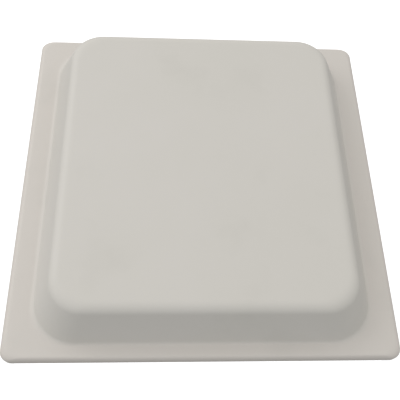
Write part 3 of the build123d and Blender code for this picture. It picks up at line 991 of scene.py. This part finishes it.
feedNutSizes = {"flats": 5.5 * mm, "length": 2.4 * mm, "bore": 1.55 * mm, "bevel": 0.94}
centreNutSizes = {"flats": 7.0 * mm, "length": 3.2 * mm, "bore": 2.05 * mm, "bevel": 0.94}
ventNutSizes = {"flats": 12.0 * mm, "length": 3.0 * mm, "bore": 4.05 * mm, "bevel": 0.95}
standoffSizes = {"flats": 7.0 * mm, "length": 12.0 * mm, "bore": 1.55 * mm, "bevel": 0.97}
upperStandoffSizes = {
    **standoffSizes,
    "radius": 1.5 * mm,
    "pitch": 0.5 * mm,
    "low": -4.5 * mm,
    "high": 0.6 * mm,
    "turns": 13,
}


def hexBar(size):
    # corners taken off by a cone at both ends, and a bore with an eased mouth
    half = size.flats / 2
    face = half * size.bevel
    mouth = size.bore + 0.3 * mm
    slope = 0.577
    length = size.length

    def outline(turn):
        fromFlat = turn.maths("WRAP", turn + pi / 6, pi / 6, -pi / 6)
        return half / turn.maths("COSINE", fromFlat)

    rings = [
        (size.bore, 0.0, 0.3 * mm, 0.0),
        (mouth, 0.0, 0.0, 0.0),
        (face, 0.0, 0.0, 0.0),
        (0.0, 1.0, face * -slope, slope),
        (0.0, 1.0, length + face * slope, -slope),
        (face, 0.0, length, 0.0),
        (mouth, 0.0, length, 0.0),
        (size.bore, 0.0, length - 0.3 * mm, 0.0),
        (size.bore, 0.0, 0.3 * mm, 0.0),
    ]
    bar = ringBody(rings, 6, [radians(turn) for turn in (0, 12, 30, 48)], outline)
    return atPoints(size, bar, spun=False)


def studdedBar(size):
    # a hexagonal standoff with the stud that screws into the one below
    parts = [hexBar(size), atPoints(size, threadBody(size, columns=24), spun=False)]
    return joined(parts)


hexParts = {
    "feed_nuts": (feedNutSizes, hexBar),
    "centre_nut": (centreNutSizes, hexBar),
    "vent_nut": (ventNutSizes, hexBar),
    "lower_standoffs": (standoffSizes, hexBar),
    "upper_standoffs": (upperStandoffSizes, studdedBar),
}
hexSeats = {"upper_standoffs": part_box("driven_disc")[1].z}      # its stud reaches down through the disc
for node, (sizes, build) in hexParts.items():
    grownPart(node, sizes, build, hexSeats.get(node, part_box(node)[0].z))
print("hexagonal parts:", len(hexParts))


# Threaded studs and pins

mountStudSizes = {
    "radius": 3.0 * mm,
    "pitch": 1.0 * mm,
    "low": -25.0 * mm,
    "high": -0.3 * mm,
    "turns": 27,
    "collar": 3.4 * mm,
    "step": 1.4 * mm,
    "head": 4.4 * mm,
    "top": 3.0 * mm,
    "edge": 0.15 * mm,
}


def mountStud(size):
    # thread below the plate, clinched collar and head in it
    root = size.radius - size.pitch * threadDepth
    edge = size.edge
    rings = [
        (0.0, size.high - size.pitch),
        (root - 0.02 * mm, size.high - size.pitch),
        (root - 0.02 * mm, 0.0),
        (size.collar - edge, 0.0),
        (size.collar, edge),
        (size.collar, size.step),
        (size.head, size.step),
        (size.head, size.top - edge),
        (size.head - edge, size.top),
        (0.0, size.top),
    ]
    parts = [threadBody(size), ringBody(rings, 1, evenTurns(40))]
    return atPoints(size, joined(parts))


grownPart("mounting_studs", mountStudSizes, mountStud)

feedPinSizes = {
    "radius": 1.5 * mm,
    "pitch": 0.5 * mm,
    "low": 14.9 * mm,
    "high": 19.2 * mm,
    "turns": 11,
    "body": 2.5 * mm,
    "foot": 4.75 * mm,
    "shoulder": 15.0 * mm,
    "waist": 0.25 * mm,
    "edge": 0.2 * mm,
}


def feedPin(size):
    # turned pin with a groove above its solder foot
    body, edge, foot = size.body, size.edge, size.foot
    groove = foot + 1.9 * mm
    rings = [
        (0.0, foot),
        (body - edge, foot),
        (body, foot + edge),
        (body, groove),
        (body - size.waist, groove + size.waist),
        (body - size.waist, groove + 0.7 * mm),
        (body, groove + 0.95 * mm),
        (body, size.shoulder - edge),
        (body - edge, size.shoulder),
        (0.0, size.shoulder),
    ]
    parts = [threadBody(size, columns=28), ringBody(rings, 1, evenTurns(36))]
    return atPoints(size, joined(parts))


pinPoints = []
for node in ("feed_pin_left", "feed_pin_right"):
    pinPoints += raised(pieceMiddles(node)[0], 0.0)
feedPins = growMesh("feedPins", feedPinSizes, feedPin, finishes["brass"], pinPoints)
stand(feedPins, "feed_pin_left", "feed_pin_right")

centreStudSizes = {
    "radius": 2.0 * mm,
    "pitch": 0.7 * mm,
    "low": 29.8 * mm,
    "high": 36.2 * mm,
    "turns": 12,
    "clinch": 3.1 * mm,
    "clinchDepth": 1.5 * mm,
    "edge": 0.12 * mm,
}


def centreStud(size):
    clinch, edge = size.clinch, size.edge
    rings = [
        (0.0, 0.0),
        (clinch - edge, 0.0),
        (clinch, edge),
        (clinch, size.clinchDepth),
        (size.radius, size.clinchDepth),
        (size.radius, size.low),
        (0.0, size.low + size.pitch),
    ]
    parts = [threadBody(size), ringBody(rings, 1, evenTurns(36))]
    return atPoints(size, joined(parts))


grownPart("centre_stud", centreStudSizes, centreStud)
print("studs and pins: 3 kinds")


# Cable jack: the frame's body, turned down to the root of its thread, and the thread itself

jackThreadSizes = {
    "radius": 7.94 * mm,
    "pitch": 25.4 / 24 * mm,
    "low": -17.93 * mm,
    "high": -6.8 * mm,
    "bore": 6.0 * mm,
    "turns": 13,
}
ventThreadSizes = {
    "radius": 4.0 * mm,
    "pitch": 1.25 * mm,
    "low": -0.7 * mm,
    "high": 7.93 * mm,
    "bore": 2.4 * mm,
    "turns": 9,
}


def threadOnPoints(size):
    return atPoints(size, threadBody(size, hollow=True, columns=56), spun=False)


def turnedDown(node, sizes):
    # the stem's surface goes in to the thread's root
    shape = weldedCopy(node)
    low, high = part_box(node)
    middleX, middleY = (low.x + high.x) / 2, (low.y + high.y) / 2
    root = sizes["radius"] - threadDepth * sizes["pitch"] - 0.04 * mm
    for vert in shape.verts:
        x, y = vert.co.x - middleX, vert.co.y - middleY
        away = (x * x + y * y) ** 0.5
        level = sizes["low"] - 0.1 * mm < vert.co.z < sizes["high"] + 0.15 * mm
        if level and root < away < sizes["radius"] + 0.05 * mm:
            vert.co.x = middleX + x * root / away
            vert.co.y = middleY + y * root / away
    return shape, [(middleX, middleY, 0.0)]


stems = {"jack": (jackThreadSizes, 0.15 * mm), "vent": (ventThreadSizes, 0.2 * mm)}     # sizes, eased width
for name, (sizes, width) in stems.items():
    node = name + "_body"
    shape, points = turnedDown(node, sizes)
    easedPiece(name + "Body", node, shape, width)
    stand(growMesh(name + "Thread", sizes, threadOnPoints, finishes[slotOf[node]], points), node)
print("threads:", len(stems))


# Plug: a soft stopper with a ribbed grip

plugSizes = {
    "mouth": 3.99 * mm,
    "taper": 0.2 * mm,
    "depth": 4.0 * mm,
    "front": -18.0 * mm,
    "head": 6.5 * mm,
    "headThickness": 1.2 * mm,
    "grip": 2.85 * mm,
    "gripLength": 3.0 * mm,
    "waist": 0.5 * mm,
    "rib": 0.15 * mm,
    "rounding": 0.2 * mm,
}
plugRibs = 14


def plugBody(size):
    front, head, grip, soft = size.front, size.head, size.grip, size.rounding
    under = front - size.headThickness
    end = under - size.gripLength
    inner = size.mouth - size.taper
    rings = [
        (0.0, front + size.depth - 0.5 * mm),
        (inner - 1.2 * mm, front + size.depth - 0.5 * mm),
        (inner - 0.9 * mm, front + size.depth),
        (inner - soft, front + size.depth),
        (inner, front + size.depth - soft),
        (size.mouth, front),
        (head - soft, front),
        (head, front - soft),
        (head, under + soft),
        (head - soft * 0.3, under + soft * 0.3),
        (head - soft, under),
        (grip + soft * 2, under),
        (grip + soft * 0.4, under - soft * 0.4),
        (grip - soft * 0.5, 1.0, under - soft * 2),
        (grip - size.waist, 1.0, (under + end) / 2),
        (grip - soft * 0.5, 1.0, end + soft * 2),
        (grip - soft * 0.3, 0.5, end + soft * 0.8),
        (grip - soft * 1.4, end),
        (0.0, end),
    ]

    def outline(turn):
        return turn.maths("COSINE", turn * plugRibs) * size.rib

    body = ringBody(rings, plugRibs, [2 * pi * step / plugRibs / 6 for step in range(6)], outline)
    return atPoints(size, body, spun=False)


plug = grownPart("jack_plug", plugSizes, plugBody, body="dust_plug")
print("plug:", len(plug.data.polygons), "faces")


# Bosses inside the radome, which take its screws

bossSizes = {
    "radius": 4.0 * mm,
    "foot": 4.7 * mm,
    "bore": 1.55 * mm,
    "low": 3.0 * mm,
    "ceiling": 6.5 * mm,
    "edge": 0.25 * mm,
}


def screwBoss(size):
    edge = size.edge
    rings = [
        (0.0, size.ceiling),
        (size.bore, size.ceiling),
        (size.bore, size.low + edge),
        (size.bore + edge, size.low),
        (size.radius - edge, size.low),
        (size.radius, size.low + edge),
        (size.radius, size.ceiling - 0.8 * mm),
        (size.foot - 0.5 * mm, size.ceiling - 0.2 * mm),
        (size.foot, size.ceiling + 0.1 * mm),
        (0.0, size.ceiling + 0.4 * mm),
    ]
    return atPoints(size, ringBody(rings, 1, evenTurns(32)), spun=False)


bosses = growMesh("radomeBosses", bossSizes, screwBoss, finishes["radome_plastic"], coverPoints)
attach(bosses, "panel")
print("bosses:", len(coverPoints))


# Seals and solder: closed rings laid one beside the other

def ringsMesh(name, material, groups):
    # each group of loops closes on itself
    points, faces = [], []
    for loops in groups:
        count = len(loops[0])
        first = len(points)
        for loop in loops:
            points += loop
        for ring in range(len(loops)):
            here = first + ring * count
            there = first + (ring + 1) % len(loops) * count
            for step in range(count):
                following = (step + 1) % count
                faces.append((here + step, here + following, there + following, there + step))
    mesh = bpy.data.meshes.new(name)
    mesh.from_pydata(points, [], faces)
    mesh.materials.append(material)
    turnOutward(mesh)
    shaded(mesh, 50)
    piece = bpy.data.objects.new(name, mesh)
    scene.collection.objects.link(piece)
    return piece


def squared(turn, power=0.45):
    # a circle's cosine and sine, pushed out towards a square
    across = abs(cos(turn)) ** power * (1 if cos(turn) > 0 else -1)
    up = abs(sin(turn)) ** power * (1 if sin(turn) > 0 else -1)
    return across, up


foamSizes = {
    "width": 4.9 * mm,
    "corner": 27.0 * mm,        # on the seal's middle line
    "cornerSteps": 14,
    "sideSteps": 40,
    "sectionSteps": 14,
    "ripple": 0.22 * mm,
    "rippleLength": 14 * mm,
}


def foamLoops(settings):
    low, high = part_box("perimeter_seal")
    halfWidth = settings["width"] / 2
    thick = (high.z - low.z) / 2
    loops = []
    for section in range(settings["sectionSteps"]):
        out, up = squared(2 * pi * section / settings["sectionSteps"])
        halfX, halfY = high.x - halfWidth, high.y - halfWidth
        corner = settings["corner"]
        loop = []
        for quadrant, (signX, signY) in enumerate(((1, 1), (-1, 1), (-1, -1), (1, -1))):
            middle = Vector((signX * (halfX - corner), signY * (halfY - corner), 0))
            following = Vector(((halfX - corner) * (1, -1, -1, 1)[(quadrant + 1) % 4],
                                (halfY - corner) * (1, 1, -1, -1)[(quadrant + 1) % 4], 0))
            for step in range(settings["cornerSteps"]):
                turn = (quadrant + step / settings["cornerSteps"]) * pi / 2
                loop.append((middle, Vector((cos(turn), sin(turn), 0))))
            outward = Vector((cos((quadrant + 1) * pi / 2), sin((quadrant + 1) * pi / 2), 0))
            for step in range(settings["sideSteps"]):
                loop.append((middle.lerp(following, step / settings["sideSteps"]), outward))
        points = []
        for centre, outward in loop:
            line = centre + outward * corner
            wander = noiseAt(line / settings["rippleLength"] + Vector((0, 0, 3 * round(out)))) - 0.6
            point = line + outward * (out * halfWidth + out * wander * settings["ripple"])
            points.append((point.x, point.y, (low.z + high.z) / 2 + up * thick))
        loops.append(points)
    return loops


stand(ringsMesh("perimeterSeal", finishes["seal_foam"], [foamLoops(foamSizes)]), "perimeter_seal")

ventSealSizes = {"bore": 4.1 * mm, "columns": 48, "sectionSteps": 12}


def ventSealLoops(settings):
    low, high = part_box("vent_seal")
    middle = (low + high) / 2
    outer = (high.x - low.x) / 2
    line, half = (outer + settings["bore"]) / 2, (outer - settings["bore"]) / 2
    loops = []
    for section in range(settings["sectionSteps"]):
        out, up = squared(2 * pi * section / settings["sectionSteps"], 0.7)
        radius, level = line + out * half, middle.z + up * (high.z - low.z) / 2
        circle = [(cos(turn) * radius, sin(turn) * radius) for turn in evenTurns(settings["columns"])]
        loops.append([(middle.x + x, middle.y + y, level) for x, y in circle])
    return loops


stand(ringsMesh("ventSeal", finishes["seal_rubber"], [ventSealLoops(ventSealSizes)]), "vent_seal")

solderSizes = {
    "pinHole": 2.58 * mm,
    "tailHole": 0.73 * mm,
    "spread": 1.22 * mm,
    "rise": 1.1 * mm,
    "sag": 2.3,
    "uneven": 0.22 * mm,
    "columns": 40,
    "steps": 7,
}


def solderLoops(settings, middle, hole, base):
    # a hollow curve from the pad up to the pin
    turns = evenTurns(settings["columns"])
    loops = []
    for step in range(settings["steps"] + 1):
        share = step / settings["steps"]
        loop = []
        for turn in turns:
            spot = Vector((cos(turn) * 1.3, sin(turn) * 1.3, middle[0] * 400 + middle[1] * 90))
            spread = settings["spread"] + noiseAt(spot) * settings["uneven"]
            radius = hole + spread * (1 - share)
            loop.append((middle[0] + cos(turn) * radius, middle[1] + sin(turn) * radius,
                         base + settings["rise"] * share ** settings["sag"]))
        loops.append(loop)
    loops.append([(middle[0] + cos(turn) * hole, middle[1] + sin(turn) * hole, base) for turn in turns])
    return loops


middles, base, high = pieceMiddles("solder_joints")
joints = []
for middle in middles:
    hole = solderSizes["tailHole"] if abs(middle[0]) < 1 * mm else solderSizes["pinHole"]
    joints.append(solderLoops(solderSizes, middle, hole, base))
stand(ringsMesh("solderJoints", finishes["solder"], joints), "solder_joints")
print("seals and solder:", 2 + len(joints))


# Stage, lights and camera

stageSizes = {
    "floor": 6.0,
    "colour": (0.42, 0.42, 0.42),
    "glow": 0.86,
    "openingInset": 2 * mm,
}


def paperSurface(name, glow, clearInside):
    # looks white from above but throws little light back up, and is clear from below;
    # the part under the panel is clear to everything but the camera, so light reaches the panel's back
    material, wire, shader = newMaterial(name)
    shader.inputs["Base Color"].default_value = (*stageSizes["colour"], 1)
    shader.inputs["Roughness"].default_value = 0.9
    shader.inputs["Emission Color"].default_value = (1, 1, 1, 1)
    seen = wire.node("ShaderNodeLightPath", output="Is Camera Ray")
    wire.tree.links.new((seen * glow).socket, shader.inputs["Emission Strength"])
    below = wire.node("ShaderNodeNewGeometry", output="Backfacing")
    hidden = wire.maths("MAXIMUM", below, 1 - seen) if clearInside else below
    sockets = {0: hidden, 1: Wire(wire.tree, shader.outputs[0]), 2: wire.node("ShaderNodeBsdfTransparent")}
    mixed = wire.node("ShaderNodeMixShader", sockets=sockets)
    wire.tree.links.new(mixed.socket, wire.tree.nodes["Material Output"].inputs["Surface"])
    return material


def makeFloor():
    level = cadLow.z
    corners = []
    for half in (stageSizes["floor"] / 2, cadHigh.x - stageSizes["openingInset"]):
        corners += [(x * half, y * half, level) for x, y in ((-1, -1), (1, -1), (1, 1), (-1, 1))]
    strips = [(side, (side + 1) % 4, (side + 1) % 4 + 4, side + 4) for side in range(4)]
    mesh = bpy.data.meshes.new("floor")
    mesh.from_pydata(corners, [], strips + [(4, 5, 6, 7)])
    mesh.materials.append(paperSurface("floorPaper", stageSizes["glow"], False))
    mesh.materials.append(paperSurface("openingPaper", 1.0, True))
    mesh.polygons[4].material_index = 1
    floor = bpy.data.objects.new("floor", mesh)
    scene.collection.objects.link(floor)


roomLight = {
    "level": 0.672,
    "towards": (-0.12, 0.18, 0.26),     # how much brighter the room is along each axis
    "fromBelow": 0.55,                  # added straight below, which only the panel's back sees
    "warm": (1.0, 0.985, 0.955),
    "cool": (0.97, 0.99, 1.0),
}
lamps = {
    # place, aimed at the origin, side of the square lamp, power in watts
    "keyLamp": {"place": (-1.1, 0.6, 1.0), "side": 1.2, "power": 5.0},
}


def makeLight():
    for name, settings in lamps.items():
        light = bpy.data.lights.new(name, "AREA")
        light.size = settings["side"]
        light.energy = settings["power"]
        lamp = bpy.data.objects.new(name, light)
        lamp.location = settings["place"]
        lamp.rotation_euler = (-Vector(settings["place"])).to_track_quat("-Z", "Y").to_euler()
        scene.collection.objects.link(lamp)
    # a pale room, brighter behind and above the panel than in front of it
    world = bpy.data.worlds.new("paleRoom")
    world.use_nodes = True
    wire = Wire(world.node_tree)
    direction = wire.node("ShaderNodeTexCoord", output="Generated")
    x = wire.node("ShaderNodeSeparateXYZ", sockets={"Vector": direction})
    towards = roomLight["towards"]
    level = x * towards[0] + x.output("Y") * towards[1] + x.output("Z") * towards[2] + roomLight["level"]
    level = level + wire.maths("MAXIMUM", x.output("Z") * -roomLight["fromBelow"], 0.0)
    warmth = wire.maths("MULTIPLY_ADD", x.output("Y"), 0.5, 0.5, clamp=True)
    tint = mixColours(wire, warmth, roomLight["cool"], roomLight["warm"])
    # the camera itself sees plain white
    seen = wire.node("ShaderNodeLightPath", output="Is Camera Ray")
    tint = mixColours(wire, seen, tint, (1.0, 1.0, 1.0))
    level = level + seen * (1 - level)
    background = world.node_tree.nodes["Background"]
    world.node_tree.links.new(tint.socket, background.inputs["Color"])
    world.node_tree.links.new(level.socket, background.inputs["Strength"])
    scene.world = world


cameraSettings = {
    "place": (-23.1 * mm, -191.3 * mm, 360.8 * mm),
    "tilt": (radians(25.56), radians(-3.63), radians(0.52)),
    "lens": 48.7,
    "shift": (-0.005, 0.019),
}


def makeCamera():
    data = bpy.data.cameras.new("camera")
    data.sensor_width = 36.0
    data.lens = cameraSettings["lens"]
    data.shift_x, data.shift_y = cameraSettings["shift"]
    data.clip_start = 0.01
    camera = bpy.data.objects.new("camera", data)
    camera.location = cameraSettings["place"]
    camera.rotation_mode = "YXZ"
    camera.rotation_euler = Euler(cameraSettings["tilt"], "YXZ")
    scene.collection.objects.link(camera)
    bpy.context.scene.camera = camera


makeFloor()
makeLight()
makeCamera()
scene.view_settings.view_transform = "Standard"
print("stage ready")
